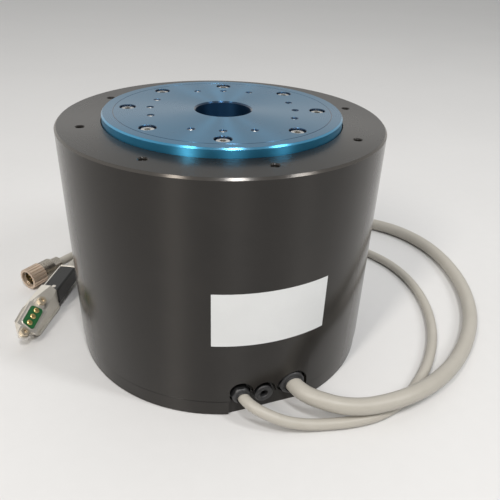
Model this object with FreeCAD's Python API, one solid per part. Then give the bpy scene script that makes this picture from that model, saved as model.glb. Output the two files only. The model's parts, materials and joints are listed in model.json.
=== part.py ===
# Hollow-shaft direct drive rotary motor: a housing with a slotted stator, a magnet rotor on two ball
# bearings under a turning plate, a ring encoder, and two cables with a connector on each.
# Millimetres. The origin is the middle of the underside, +Z is up along the axis of rotation, and the
# cable outlet faces -Y.
import FreeCAD
import Part
import math
import os

from FreeCAD import Vector

# Housing and base
HOUSING_DIA = 175.0
OVERALL_HEIGHT = 138.0
HOUSING_WALL = 8.5
RIM_CHAMFER = 1.0
BASE_THICKNESS = 9.5
BASE_STEP = 0.5
SEAM_CHAMFER = 0.4
BASE_FLOOR = 2.5
BASE_SPIGOT = 4.0
SPIGOT_CLEARANCE = 0.1
FACE_HOLE_SHIFT = 1.05
FACE_HOLE_COUNT = 8
FACE_HOLE_DEPTH = 12.0
BASE_SCREW_INSET = 5.5
BASE_SCREW_COUNT = 8
BASE_TAP_INSET = 25.5
BASE_TAP_COUNT = 4
BASE_TAP_DEPTH = 7.0
BASE_SCREW_BITE = 9.5
ORING_SECTION = 2.0
ORING_CLEARANCE = 0.05

# Rotor plate and hollow shaft
PLATE_DIA = 128.0
PLATE_THICKNESS = 9.0
PLATE_RISE = 4.5
PLATE_GAP = 0.6
PLATE_CHAMFER = 0.8
RING_LINE_INSET = 6.0
RING_LINE_SIZE = 0.25
BORE_DIA = 30.0
PLATE_SCREW_INSET = 13.0
PLATE_SCREW_COUNT = 8
PLATE_TAP_INSET = 24.0
PLATE_TAP_COUNT = 8
PLATE_INNER_TAP_INSET = 25.0
PLATE_INNER_TAP_COUNT = 4
PLATE_TAP_DEPTH = 7.5
REST_TURN = -17.5
FLANGE_INSET = 6.0
FLANGE_THICKNESS = 5.0
REGISTER_WALL = 7.0
REGISTER_HEIGHT = 2.0
REGISTER_CLEARANCE = 0.03
SHAFT_END_GAP = 0.5
SHAFT_SHOULDER = 2.0
SHOULDER_STEP = 3.0
THREAD_STEP = 1.0

# Ball bearings: bore, outside, width, ball, number of balls
UPPER_BORE = 60.0
UPPER_OUTSIDE = 95.0
UPPER_WIDTH = 18.0
UPPER_BALL = 11.0
UPPER_BALLS = 12
LOWER_BORE = 50.0
LOWER_OUTSIDE = 80.0
LOWER_WIDTH = 16.0
LOWER_BALL = 8.7
LOWER_BALLS = 13
RACE_CLEARANCE = 0.1
POCKET_CLEARANCE = 0.12
CAGE_RIM = 1.3
SEAT_LIP_WIDTH = 4.5
SEAT_LIP = 4.0
LOWER_SEAT_LIP = 1.5
LOWER_BOSS_WALL = 6.0
RETAINER_THICKNESS = 3.0
RETAINER_SCREW_COUNT = 8
RUNNING_GAP = 1.0
NUT_DIA = 66.0
NUT_HEIGHT = 7.0
NUT_SLOTS = 4
NUT_SLOT_WIDTH = 6.0
NUT_SLOT_DEPTH = 2.5
SEAL_LIP_GAP = 0.4
SEAL_SIDE_GAP = 0.1
SEAL_PLATE_GAP = 0.5
SEAL_LIP = 2.0
SEAL_SLOPE = 1.0

# Stator core, coils, rotor yoke and magnets
TOOTH_COUNT = 24
CORE_BACK = 6.95
CORE_CLEARANCE = 0.05
TOOTH_WIDTH = 6.8
TOOTH_TIP = 1.5
SLOT_OPENING = 2.5
SLOT_DEPTH = 13.0
COIL_THICKNESS = 3.8
COIL_CORNER = 3.0
COIL_TOOTH_GAP = 0.25
COIL_RADIAL_GAP = 0.6
COIL_SIDE_GAP = 0.6
COIL_END_GAP = 0.8
COIL_WEB_GAP = 1.3
AIR_GAP = 1.2
MAGNET_THICKNESS = 2.8
MAGNET_COUNT = 28
MAGNET_COVER = 0.86
MAGNET_END = 1.0
GLUE_GAP = 0.02
YOKE_RIM = 5.0
YOKE_WEB = 10.0
YOKE_HUB_WALL = 5.0
YOKE_HOLE_DIA = 7.0
YOKE_HOLES = 6
SHAFT_FIT = 0.02

# Ring encoder and connection board
CLAMP_RING_THICKNESS = 2.0
CLAMP_RING_WALL = 6.0
CLAMP_RING_GAP = 2.8
CLAMP_SCREW_COUNT = 6
DISC_BOARD_GAP = 6.0
DISC_THICKNESS = 1.2
DISC_GAP = 1.0
COLLAR_HEIGHT = 7.0
COLLAR_WALL = 7.0
HEAD_LENGTH = 24.0
HEAD_WIDTH = 13.0
HEAD_HEIGHT = 10.5
HEAD_BOSS_GAP = 1.5
HEAD_SCREW_SPREAD = 16.0
HEAD_WINDOW = 0.6
BRACKET_LENGTH = 22.0
BOARD_RIM_GAP = 2.0
BOARD_WIDTH = 17.0
BOARD_THICKNESS = 1.6
BOARD_COIL_GAP = 4.7
BOARD_POST_INSET = 7.0
BOARD_POST_DIA = 6.0
BOARD_POST_COUNT = 4

# Threads by tapping radius, and the clearance between a screw's core and its tapped hole
M25_TAP_R = 1.025
M3_TAP_R = 1.25
M4_TAP_R = 1.65
M5_TAP_R = 2.1
M6_TAP_R = 2.5
CORE_GAP = 0.03
SMALL_BITE = 5.0
TAP_SPARE = 1.0
OVERRUN = 1.0
M3_CLEAR_R = 1.7
M4_CLEAR_R = 2.25
M25_CLEAR_R = 1.3
M25_HEAD_R = 2.25
M25_HEAD_HEIGHT = 1.2
M3_HEAD_R = 2.75
M3_HEAD_HEIGHT = 3.0
M3_SINK_R = 3.0
M3_SINK_HEIGHT = 1.6
M4_HEAD_R = 3.5
M4_HEAD_HEIGHT = 4.0
M4_SOCKET = 3.0
M4_BORE_R = 4.25
M4_BORE_CHAMFER = 0.3
HEAD_RECESS = 0.7
HEAD_SIDE_GAP = 0.2
TAP_CHAMFER = 0.5

# Cable outlet low on the housing: a row of three arches and a boss behind them
OUTLET_DEPTH = 4.6
OUTLET_LEFT = -21.9
ARCH_WIDTHS = (12.2, 12.3, 19.0)
ARCH_TOPS = (22.0, 20.3, 22.4)
OUTLET_BOSS_DEPTH = 15.0
OUTLET_BOSS_HEIGHT = 27.0
NOTCH_GAP = 0.2
PORT_X = -3.2
PORT_Z = 11.0
PORT_FLANGE_R = 5.2
PORT_FLANGE = 3.2
PORT_CHAMFER = 0.7
PORT_SHANK_R = 3.4
PORT_SHANK = 6.0
GLAND_SEAT_DEPTH = 3.2
GLAND_SEAT_GAP = 0.5
GLAND_FLANGE = 2.0
GLAND_SHANK = 7.0
GLAND_FIT = 0.05
GLAND_NUT_LENGTH = 5.0
GLAND_NUT_ROUND = 0.4
GLAND_DOME = 2.2
CABLE_BORE_GAP = 0.15
POWER_GLAND_X = 12.6
POWER_GLAND_Z = 14.0
POWER_GLAND_FLATS = 13.6
POWER_SHANK_R = 5.0
POWER_WIRE_R = 3.2
ENCODER_GLAND_X = -15.8
ENCODER_GLAND_Z = 13.0
ENCODER_GLAND_FLATS = 9.4
ENCODER_SHANK_R = 3.5
ENCODER_WIRE_R = 2.0

# Cables
POWER_CABLE_DIA = 9.0
POWER_EXIT_RUN = 10.5
ENCODER_CABLE_DIA = 6.0
ENCODER_EXIT_RUN = 10.3

# Power connector: a clamp block and a hood that lie level, and a face that leans. The face's own frame has X
# along it towards the front screw and Z out of it.
POWER_PLUG_X = -115.5
POWER_PLUG_Y = 15.9
POWER_PLUG_TURN = 243.1
FACE_HEIGHT = 13.4
FACE_DIP = 12.9
FACE_LEAN = 43.0
FLOOR_GAP = 0.2
HOOD_FRONT = 8.9
HOOD_NOSE = 6.8
HOOD_BACK = 27.6
HOOD_LEFT = 2.6
HOOD_RIGHT = 7.0
HOOD_TOP = 17.8
BLOCK_LENGTH = 28.0
BLOCK_WIDTH = 10.8
BLOCK_LOW = 4.2
BLOCK_HIGH = 15.2
BLOCK_SHIFT = 1.6
BLOCK_CHAMFER = 1.0
BLOCK_SOCKET = 8.0
SHELL_FLANGE_LENGTH = 18.0
SHELL_FLANGE_WIDTH = 12.5
SHELL_FLANGE = 1.2
SHELL_EAR_R = 3.5
SHELL_RISE = 0.4
SHELL_WALL = 0.5
FACE_LENGTH = 14.6
FACE_WIDTH = 7.7
FACE_RISE = 0.3
FACE_SLOPE = 10.0
FACE_CORNER = 1.6
INSERT_GAP = 0.15
INSERT_DEPTH = 3.0
CONTACT_PITCH = 4.82
CONTACT_R = 1.7
CONTACT_RISE = 0.7
CONTACT_DOME = 0.5
CONTACT_GAP = 0.05
CONTACT_FLOOR = 1.0
JACKSCREW_SPACING = 25.0
JACKSCREW_R = 1.4
JACKSCREW_GAP = 0.06
JACKSCREW_FLATS = 4.8
JACKSCREW_HEAD = 2.5
JACKSCREW_BORE_R = 1.1
JACKSCREW_COLLAR_R = 2.2
JACKSCREW_COLLAR = 1.4
JACKSCREW_REACH = 3.6

# Encoder connector: heights run from its cable end to its tip
ENCODER_PLUG_X = -98.1
ENCODER_PLUG_Y = 86.3
ENCODER_PLUG_TURN = 218.5
PLUG_LENGTH = 27.0
RING_R = 7.4
RING_LENGTH = 11.0
RING_GROOVES = 20
RING_GROOVE_R = 0.5
RING_FIT = 0.06
RING_MOUTH = 2.0
PLUG_SHELL_R = 5.6
PLUG_BODY_R = 6.5
PLUG_WALL = 0.7
PLUG_REAR_R = 4.4
CLAMP_NUT_FLATS = 10.0
CLAMP_NUT_LENGTH = 6.5
CLAMP_NUT_LIP = 3.0
CLAMP_NUT_CHAMFER = 1.5
INSERT_RECESS = 6.0
INSERT_LENGTH = 8.0
PIN_R = 0.5
PIN_RISE = 4.5
PIN_CIRCLE_R = 3.0
PIN_COUNT = 7
PIN_SEAT = 2.0

# Places worked out from the sizes above
housing_r = HOUSING_DIA / 2
housing_bore_r = housing_r - HOUSING_WALL
bore_r = BORE_DIA / 2
plate_r = PLATE_DIA / 2
recess_r = plate_r + PLATE_GAP
flange_r = plate_r - FLANGE_INSET
register_r = bore_r + REGISTER_WALL
upper_bore_r = UPPER_BORE / 2
upper_outside_r = UPPER_OUTSIDE / 2
lower_bore_r = LOWER_BORE / 2
lower_outside_r = LOWER_OUTSIDE / 2
core_outer_r = housing_bore_r - CORE_CLEARANCE
slot_floor_r = core_outer_r - CORE_BACK
core_inner_r = slot_floor_r - SLOT_DEPTH
magnet_outer_r = core_inner_r - AIR_GAP
magnet_inner_r = magnet_outer_r - MAGNET_THICKNESS
yoke_outer_r = magnet_inner_r - GLUE_GAP
boss_r = lower_outside_r + LOWER_BOSS_WALL
board_outer_r = housing_bore_r - BOARD_RIM_GAP
board_inner_r = board_outer_r - BOARD_WIDTH
disc_r = board_inner_r - DISC_BOARD_GAP
face_circle = housing_r + recess_r - 2 * FACE_HOLE_SHIFT
base_screw_circle = 2 * (housing_r - BASE_SCREW_INSET)
base_tap_circle = 2 * (housing_r - BASE_TAP_INSET)
plate_screw_circle = 2 * (plate_r - PLATE_SCREW_INSET)
plate_tap_circle = 2 * (plate_r - PLATE_TAP_INSET)
plate_inner_tap_circle = 2 * (plate_r - PLATE_INNER_TAP_INSET)
retainer_circle = upper_outside_r + recess_r
post_circle = 2 * (board_outer_r - BOARD_POST_INSET)

plate_top = OVERALL_HEIGHT
plate_low = plate_top - PLATE_THICKNESS
housing_top = plate_top - PLATE_RISE
flange_low = plate_low - FLANGE_THICKNESS
upper_top = flange_low - RETAINER_THICKNESS - RUNNING_GAP
upper_low = upper_top - UPPER_WIDTH
web_low = upper_low - SEAT_LIP
coil_top = web_low - COIL_WEB_GAP
core_top = coil_top - COIL_THICKNESS - COIL_END_GAP
lower_low = BASE_THICKNESS + LOWER_SEAT_LIP
lower_top = lower_low + LOWER_WIDTH
shaft_low = BASE_FLOOR + SHAFT_END_GAP
shaft_step = lower_top + SHAFT_SHOULDER
clamp_low = lower_top + CLAMP_RING_GAP
disc_low = clamp_low + CLAMP_RING_THICKNESS
disc_top = disc_low + DISC_THICKNESS
collar_top = disc_top + COLLAR_HEIGHT
board_top = disc_low + DISC_THICKNESS / 2
coil_low = board_top + BOARD_COIL_GAP
core_low = coil_low + COIL_THICKNESS + COIL_END_GAP
nut_low = lower_low - NUT_HEIGHT
flat_y = -(housing_r - OUTLET_DEPTH)
gland_seat_y = flat_y + GLAND_SEAT_DEPTH
gland_face_y = gland_seat_y - GLAND_FLANGE
boss_inner_y = -(housing_r - OUTLET_BOSS_DEPTH)
outlet_right = OUTLET_LEFT + sum(ARCH_WIDTHS)

AXIS = Vector(0, 0, 1)
CENTRE = Vector(0, 0, 0)
OUT = Vector(0, -1, 0)


def turned(profile):
    """A solid turned about Z from its corners, given as radius and height."""
    corners = [Vector(radius, 0, height) for radius, height in profile]
    face = Part.Face(Part.makePolygon(corners + corners[:1]))
    return face.revolve(CENTRE, AXIS, 360)


def ring(inner_r, outer_r, low, high):
    return turned([(inner_r, low), (outer_r, low), (outer_r, high), (inner_r, high)])


def rod(radius, low, high, x=0.0, y=0.0):
    return Part.makeCylinder(radius, high - low, Vector(x, y, low))


def block(x, y, z):
    """A box between pairs of lower and upper limits."""
    return Part.makeBox(x[1] - x[0], y[1] - y[0], z[1] - z[0], Vector(x[0], y[0], z[0]))


def prism(corners, low, high):
    """A straight solid between two heights on a flat outline."""
    points = [Vector(x, y, low) for x, y in corners]
    face = Part.Face(Part.makePolygon(points + points[:1]))
    return face.extrude(Vector(0, 0, high - low))


def hexagon(flats, low, high):
    reach = flats / 2 / math.cos(math.pi / 6)
    turns = [math.radians(60 * side) for side in range(6)]
    return prism([(reach * math.cos(turn), reach * math.sin(turn)) for turn in turns], low, high)


def turned_copies(shape, angles):
    return [shape.rotated(CENTRE, AXIS, angle) for angle in angles]


def even_angles(count, start=0.0):
    return [start + 360.0 * index / count for index in range(count)]


def on_circle(shape, diameter, angles):
    """Copies of a shape made on the axis, moved out to a circle."""
    moved = shape.translated(Vector(diameter / 2, 0, 0))
    return turned_copies(moved, angles)


def upside_down(shape):
    return shape.rotated(CENTRE, Vector(1, 0, 0), 180)


def save(name, *shapes):
    whole = shapes[0] if len(shapes) == 1 else Part.makeCompound(list(shapes))
    whole.exportStep("parts/" + name + ".step")


def tapped_hole(tap_r, low, high):
    """The space of a tapped hole with a chamfered mouth at its upper end."""
    mouth = Part.makeCone(tap_r, tap_r + TAP_CHAMFER, TAP_CHAMFER, Vector(0, 0, high - TAP_CHAMFER))
    return rod(tap_r, low, high).fuse(mouth)


def cap_screw(tap_r, head_r, head_height, length, socket=0.0):
    """A screw with its head on z = 0, pointing down."""
    shank = rod(tap_r - CORE_GAP, -length, 0)
    screw = rod(head_r, 0, head_height).fuse(shank).removeSplitter()
    if socket:
        screw = screw.cut(hexagon(socket, head_height / 2, head_height))
    return screw


# Housing
face_angles = even_angles(FACE_HOLE_COUNT)
base_screw_angles = even_angles(BASE_SCREW_COUNT, 180.0 / BASE_SCREW_COUNT)
retainer_angles = even_angles(RETAINER_SCREW_COUNT)
base_screw_seat = M4_HEAD_HEIGHT + HEAD_RECESS
base_screw_length = BASE_THICKNESS - base_screw_seat + BASE_SCREW_BITE


def outlet_arches():
    """The three arches side by side, cut back to the outlet's flat."""
    left = OUTLET_LEFT
    arches = []
    for width, top in zip(ARCH_WIDTHS, ARCH_TOPS):
        centre = left + width / 2
        spring = top - width / 2
        depth = OUTLET_DEPTH * 2
        lower = block((left, left + width), (flat_y - depth, flat_y), (-OVERRUN, spring))
        upper = Part.makeCylinder(width / 2, depth, Vector(centre, flat_y, spring), OUT)
        arches += [lower, upper]
        left += width
    return arches


def gland_space(x, z, flats, shank_r):
    """The round seat of a gland and the hole of its shank."""
    seat_r = flats / 2 / math.cos(math.pi / 6) + GLAND_SEAT_GAP
    seat = Part.makeCylinder(seat_r, GLAND_SEAT_DEPTH * 3, Vector(x, gland_seat_y, z), OUT)
    hole_length = boss_inner_y - gland_seat_y + OVERRUN
    hole = Part.makeCylinder(shank_r + GLAND_FIT, hole_length, Vector(x, gland_seat_y, z), -OUT)
    return [seat, hole]


def make_housing():
    body = turned([
        (housing_bore_r, BASE_THICKNESS),
        (housing_r - SEAM_CHAMFER, BASE_THICKNESS),
        (housing_r, BASE_THICKNESS + SEAM_CHAMFER),
        (housing_r, housing_top - RIM_CHAMFER),
        (housing_r - RIM_CHAMFER, housing_top),
        (recess_r, housing_top),
        (recess_r, upper_top),
        (upper_outside_r, upper_top),
        (upper_outside_r, upper_low),
        (upper_outside_r - SEAT_LIP_WIDTH, upper_low),
        (upper_outside_r - SEAT_LIP_WIDTH, web_low),
        (housing_bore_r, web_low),
    ])
    sides = (OUTLET_LEFT, outlet_right)
    boss = block(sides, (-housing_r - OVERRUN, boss_inner_y), (0.0, OUTLET_BOSS_HEIGHT))
    body = body.fuse(boss.common(rod(housing_r, 0.0, OUTLET_BOSS_HEIGHT))).removeSplitter()
    face_hole = tapped_hole(M5_TAP_R, housing_top - FACE_HOLE_DEPTH, housing_top)
    base_hole = rod(M4_TAP_R, BASE_THICKNESS, BASE_THICKNESS + BASE_SCREW_BITE + TAP_SPARE)
    retainer_hole = rod(M3_TAP_R, upper_top - SMALL_BITE - TAP_SPARE, upper_top)
    port_length = boss_inner_y - flat_y + OVERRUN
    port = Part.makeCylinder(PORT_SHANK_R + GLAND_FIT, port_length, Vector(PORT_X, flat_y, PORT_Z), -OUT)
    cuts = on_circle(face_hole, face_circle, face_angles)
    cuts += on_circle(base_hole, base_screw_circle, base_screw_angles)
    cuts += on_circle(retainer_hole, retainer_circle, retainer_angles)
    cuts += outlet_arches()
    cuts += gland_space(POWER_GLAND_X, POWER_GLAND_Z, POWER_GLAND_FLATS, POWER_SHANK_R)
    cuts += gland_space(ENCODER_GLAND_X, ENCODER_GLAND_Z, ENCODER_GLAND_FLATS, ENCODER_SHANK_R)
    cuts.append(port)
    save("housing", body.cut(cuts))


# Base plate with the lower bearing's boss, its screws and its ring seal
def make_base():
    spigot_r = housing_bore_r - SPIGOT_CLEARANCE
    spigot_top = BASE_THICKNESS + BASE_SPIGOT
    base_r = housing_r - BASE_STEP
    nut_room_r = NUT_DIA / 2 + RUNNING_GAP
    groove_low = BASE_THICKNESS + (BASE_SPIGOT - ORING_SECTION) / 2 - ORING_CLEARANCE
    groove_high = groove_low + ORING_SECTION + 2 * ORING_CLEARANCE
    groove_r = housing_bore_r - ORING_SECTION - 2 * ORING_CLEARANCE
    body = turned([
        (bore_r + RUNNING_GAP, 0.0),
        (base_r - SEAM_CHAMFER, 0.0),
        (base_r, SEAM_CHAMFER),
        (base_r, BASE_THICKNESS - SEAM_CHAMFER),
        (base_r - SEAM_CHAMFER, BASE_THICKNESS),
        (spigot_r, BASE_THICKNESS),
        (spigot_r, groove_low),
        (groove_r, groove_low),
        (groove_r, groove_high),
        (spigot_r, groove_high),
        (spigot_r, spigot_top),
        (spigot_r - BASE_SPIGOT, spigot_top),
        (spigot_r - BASE_SPIGOT, BASE_THICKNESS),
        (boss_r, BASE_THICKNESS),
        (boss_r, lower_top),
        (lower_outside_r, lower_top),
        (lower_outside_r, lower_low),
        (nut_room_r, lower_low),
        (nut_room_r, BASE_FLOOR),
        (bore_r + RUNNING_GAP, BASE_FLOOR),
    ])
    sides = (OUTLET_LEFT - NOTCH_GAP, outlet_right + NOTCH_GAP)
    notch = block(sides, (-housing_r, boss_inner_y + NOTCH_GAP), (-OVERRUN, spigot_top + OVERRUN))
    head_space = rod(M4_HEAD_R + HEAD_SIDE_GAP, 0.0, base_screw_seat)
    screw_space = rod(M4_CLEAR_R, 0.0, BASE_THICKNESS).fuse(head_space)
    tap_space = rod(M6_TAP_R, 0.0, BASE_TAP_DEPTH)
    post_tap = rod(M3_TAP_R, BASE_THICKNESS - SMALL_BITE - TAP_SPARE, BASE_THICKNESS)
    cuts = [notch]
    cuts += on_circle(screw_space, base_screw_circle, base_screw_angles)
    cuts += on_circle(tap_space, base_tap_circle, even_angles(BASE_TAP_COUNT))
    cuts += on_circle(post_tap, post_circle, board_angles)
    save("base_plate", body.cut(cuts))
    screw = cap_screw(M4_TAP_R, M4_HEAD_R, M4_HEAD_HEIGHT, base_screw_length, M4_SOCKET)
    screw = upside_down(screw).translated(Vector(0, 0, base_screw_seat))
    save("base_screws", *on_circle(screw, base_screw_circle, base_screw_angles))
    seal_r = groove_r + ORING_CLEARANCE + ORING_SECTION / 2
    seal = Part.makeTorus(seal_r, ORING_SECTION / 2, Vector(0, 0, (groove_low + groove_high) / 2))
    save("base_oring", seal.cut(notch))


# Rotor plate, its screws and the shaft below it
def make_rotor_plate():
    line_r = plate_r - RING_LINE_INSET
    register_top = plate_low + REGISTER_HEIGHT + REGISTER_CLEARANCE
    body = turned([
        (bore_r, register_top),
        (register_r + REGISTER_CLEARANCE, register_top),
        (register_r + REGISTER_CLEARANCE, plate_low),
        (plate_r, plate_low),
        (plate_r, plate_top - PLATE_CHAMFER),
        (plate_r - PLATE_CHAMFER, plate_top),
        (line_r + RING_LINE_SIZE, plate_top),
        (line_r, plate_top - RING_LINE_SIZE),
        (line_r - RING_LINE_SIZE, plate_top),
        (bore_r + PLATE_CHAMFER, plate_top),
        (bore_r, plate_top - PLATE_CHAMFER),
    ])
    seat = plate_top - M4_HEAD_HEIGHT - HEAD_RECESS
    screw_space = turned([
        (0.0, plate_low),
        (M4_CLEAR_R, plate_low),
        (M4_CLEAR_R, seat),
        (M4_BORE_R, seat),
        (M4_BORE_R, plate_top - M4_BORE_CHAMFER),
        (M4_BORE_R + M4_BORE_CHAMFER, plate_top),
        (0.0, plate_top),
    ])
    tap_space = tapped_hole(M4_TAP_R, plate_top - PLATE_TAP_DEPTH, plate_top)
    screw_angles = even_angles(PLATE_SCREW_COUNT, REST_TURN)
    tap_angles = even_angles(PLATE_TAP_COUNT, REST_TURN + 180.0 / PLATE_TAP_COUNT)
    inner_tap_angles = even_angles(PLATE_INNER_TAP_COUNT, REST_TURN)
    cuts = on_circle(screw_space, plate_screw_circle, screw_angles)
    cuts += on_circle(tap_space, plate_tap_circle, tap_angles)
    cuts += on_circle(tap_space, plate_inner_tap_circle, inner_tap_angles)
    save("rotor_plate", body.cut(cuts))
    length = seat - plate_low + FLANGE_THICKNESS
    screw = cap_screw(M4_TAP_R, M4_HEAD_R, M4_HEAD_HEIGHT, length, M4_SOCKET)
    screw = screw.translated(Vector(0, 0, seat))
    save("plate_screws", *on_circle(screw, plate_screw_circle, screw_angles))


def make_shaft():
    thread_r = lower_bore_r - THREAD_STEP
    shoulder_r = upper_bore_r + SHOULDER_STEP
    body = turned([
        (bore_r, shaft_low),
        (thread_r, shaft_low),
        (thread_r, lower_low),
        (lower_bore_r, lower_low),
        (lower_bore_r, lower_top),
        (lower_bore_r + SHOULDER_STEP, lower_top),
        (lower_bore_r + SHOULDER_STEP, shaft_step),
        (upper_bore_r, shaft_step),
        (upper_bore_r, upper_top),
        (shoulder_r, upper_top),
        (shoulder_r, flange_low),
        (flange_r, flange_low),
        (flange_r, plate_low),
        (register_r, plate_low),
        (register_r, plate_low + REGISTER_HEIGHT),
        (bore_r, plate_low + REGISTER_HEIGHT),
    ])
    screw_hole = rod(M4_TAP_R, flange_low, plate_low)
    screw_angles = even_angles(PLATE_SCREW_COUNT, REST_TURN)
    save("hollow_shaft", body.cut(on_circle(screw_hole, plate_screw_circle, screw_angles)))
    nut = ring(thread_r + SHAFT_FIT, NUT_DIA / 2, nut_low, lower_low)
    slot_inner_r = NUT_DIA / 2 - NUT_SLOT_DEPTH
    half = NUT_SLOT_WIDTH / 2
    slot = block((slot_inner_r, NUT_DIA / 2 + OVERRUN), (-half, half), (nut_low, lower_low))
    save("lock_nut", nut.cut(turned_copies(slot, even_angles(NUT_SLOTS))))


# Ball bearings
def make_bearing(name, inner_r, outer_r, low, high, ball, count):
    """Two rings with a round race, and a cage with its balls, in four nodes."""
    ball_r = ball / 2
    pitch_r = (inner_r + outer_r) / 2
    middle = (low + high) / 2
    race = Part.makeTorus(pitch_r, ball_r + RACE_CLEARANCE, Vector(0, 0, middle))
    save(name + "_inner_ring", ring(inner_r, pitch_r - ball_r / 2, low, high).cut(race))
    save(name + "_outer_ring", ring(pitch_r + ball_r / 2, outer_r, low, high).cut(race))
    angles = even_angles(count)
    half = ball_r + CAGE_RIM
    cage = ring(pitch_r - ball_r / 4, pitch_r + ball_r / 4, middle - half, middle + half)
    pocket = Part.makeCylinder(ball_r + POCKET_CLEARANCE, outer_r, Vector(0, 0, middle), Vector(1, 0, 0))
    save(name + "_cage", cage.cut(turned_copies(pocket, angles)))
    save(name + "_balls", *on_circle(Part.makeSphere(ball_r, Vector(0, 0, middle)), 2 * pitch_r, angles))


def make_retainer():
    """The ring that holds the upper bearing, its flat screws and the seal on top of it."""
    inner_r = upper_outside_r - SEAT_LIP_WIDTH
    outer_r = recess_r - SEAL_SIDE_GAP
    top = upper_top + RETAINER_THICKNESS
    body = ring(inner_r, outer_r, upper_top, top)
    sink = Part.makeCone(M3_TAP_R, M3_SINK_R, M3_SINK_HEIGHT, Vector(0, 0, top - M3_SINK_HEIGHT))
    holes = rod(M3_CLEAR_R, upper_top, top).fuse(sink)
    save("bearing_retainer", body.cut(on_circle(holes, retainer_circle, retainer_angles)))
    shank = rod(M3_TAP_R - CORE_GAP, upper_top - SMALL_BITE, top - M3_SINK_HEIGHT)
    screw = sink.fuse(shank).removeSplitter()
    save("retainer_screws", *on_circle(screw, retainer_circle, retainer_angles))
    seal_high = plate_low - SEAL_PLATE_GAP
    lip_r = flange_r + SEAL_LIP_GAP
    save("dust_seal", turned([
        (lip_r + SEAL_LIP, top),
        (outer_r, top),
        (outer_r, seal_high),
        (lip_r, seal_high),
        (lip_r, seal_high - SEAL_LIP),
        (lip_r + SEAL_LIP, seal_high - SEAL_LIP - SEAL_SLOPE),
    ]))


# Stator core and coils
tooth_half = TOOTH_WIDTH / 2
half_pitch = math.pi / TOOTH_COUNT


def slot_half(radius):
    """Half the width of a slot between straight-sided teeth."""
    return radius * math.tan(half_pitch) - tooth_half / math.cos(half_pitch)


def make_stator():
    neck_r = core_inner_r + TOOTH_TIP
    opening = SLOT_OPENING / 2
    inner_half = slot_half(neck_r)
    outer_half = slot_half(slot_floor_r)
    upper_side = [
        (core_inner_r - OVERRUN, opening),
        (neck_r, opening),
        (neck_r, inner_half),
        (slot_floor_r, outer_half),
    ]
    lower_side = [(x, -y) for x, y in reversed(upper_side)]
    slot = prism(lower_side + upper_side, core_low, core_top)
    slot_angles = even_angles(TOOTH_COUNT, 180.0 / TOOTH_COUNT)
    core = ring(core_inner_r, core_outer_r, core_low, core_top)
    save("stator_core", core.cut(turned_copies(slot, slot_angles)))
    hole_half = tooth_half + COIL_TOOTH_GAP
    radii = (neck_r + COIL_RADIAL_GAP, slot_floor_r - COIL_RADIAL_GAP)
    coil_half = radii[0] * math.tan(half_pitch) - COIL_SIDE_GAP
    coil = block(radii, (-coil_half, coil_half), (coil_low, coil_top))
    corners = [edge for edge in coil.Edges if abs(edge.tangentAt(0).x) > 0.9]
    coil = coil.makeFillet(COIL_CORNER, corners)
    hole = block(radii, (-hole_half, hole_half), (core_low - COIL_END_GAP, core_top + COIL_END_GAP))
    save("stator_coils", *turned_copies(coil.cut(hole), even_angles(TOOTH_COUNT)))


# Rotor yoke and magnets
def make_magnet_rotor():
    hub_r = upper_bore_r + YOKE_HUB_WALL
    rim_r = yoke_outer_r - YOKE_RIM
    middle = (core_low + core_top) / 2
    web = (middle - YOKE_WEB / 2, middle + YOKE_WEB / 2)
    shaft_r = upper_bore_r + SHAFT_FIT
    yoke = turned([
        (shaft_r, collar_top),
        (hub_r, collar_top),
        (hub_r, web[0]),
        (rim_r, web[0]),
        (rim_r, core_low),
        (yoke_outer_r, core_low),
        (yoke_outer_r, core_top),
        (rim_r, core_top),
        (rim_r, web[1]),
        (hub_r, web[1]),
        (hub_r, upper_low),
        (shaft_r, upper_low),
    ])
    hole = rod(YOKE_HOLE_DIA / 2, web[0], web[1])
    save("rotor_yoke", yoke.cut(on_circle(hole, hub_r + rim_r, even_angles(YOKE_HOLES))))
    cover = MAGNET_COVER * 360.0 / MAGNET_COUNT
    height = core_top - core_low - 2 * MAGNET_END
    base = Vector(0, 0, core_low + MAGNET_END)
    outer = Part.makeCylinder(magnet_outer_r, height, base, AXIS, cover)
    magnet = outer.cut(Part.makeCylinder(magnet_inner_r, height, base))
    save("rotor_magnets", *turned_copies(magnet, even_angles(MAGNET_COUNT)))


# Ring encoder on the shaft, its read head, and the connection board round it
board_angles = even_angles(BOARD_POST_COUNT, 180.0 / BOARD_POST_COUNT)


def make_encoder():
    shaft_r = upper_bore_r + SHAFT_FIT
    collar_r = upper_bore_r + COLLAR_WALL
    clamp_r = upper_bore_r + CLAMP_RING_WALL
    circle = shaft_r + clamp_r
    angles = even_angles(CLAMP_SCREW_COUNT)
    tap = rod(M25_TAP_R, disc_top, disc_top + COLLAR_HEIGHT / 2)
    collar = ring(shaft_r, collar_r, disc_top, collar_top)
    save("encoder_collar", collar.cut(on_circle(tap, circle, angles)))
    disc = ring(shaft_r + GLUE_GAP, disc_r, disc_low, disc_top)
    disc_hole = rod(M25_CLEAR_R, disc_low, disc_top)
    save("encoder_disc", disc.cut(on_circle(disc_hole, circle, angles)))
    seat = clamp_low + M25_HEAD_HEIGHT
    head_space = rod(M25_HEAD_R + HEAD_SIDE_GAP, clamp_low, seat)
    space = rod(M25_CLEAR_R, clamp_low, disc_low).fuse(head_space)
    clamp = ring(shaft_r, clamp_r, clamp_low, disc_low)
    save("encoder_clamp_ring", clamp.cut(on_circle(space, circle, angles)))
    length = disc_top + COLLAR_HEIGHT / 2 - TAP_SPARE - seat
    screw = cap_screw(M25_TAP_R, M25_HEAD_R, M25_HEAD_HEIGHT, length)
    screw = upside_down(screw).translated(Vector(0, 0, seat))
    save("encoder_clamp_screws", *on_circle(screw, circle, angles))


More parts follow.
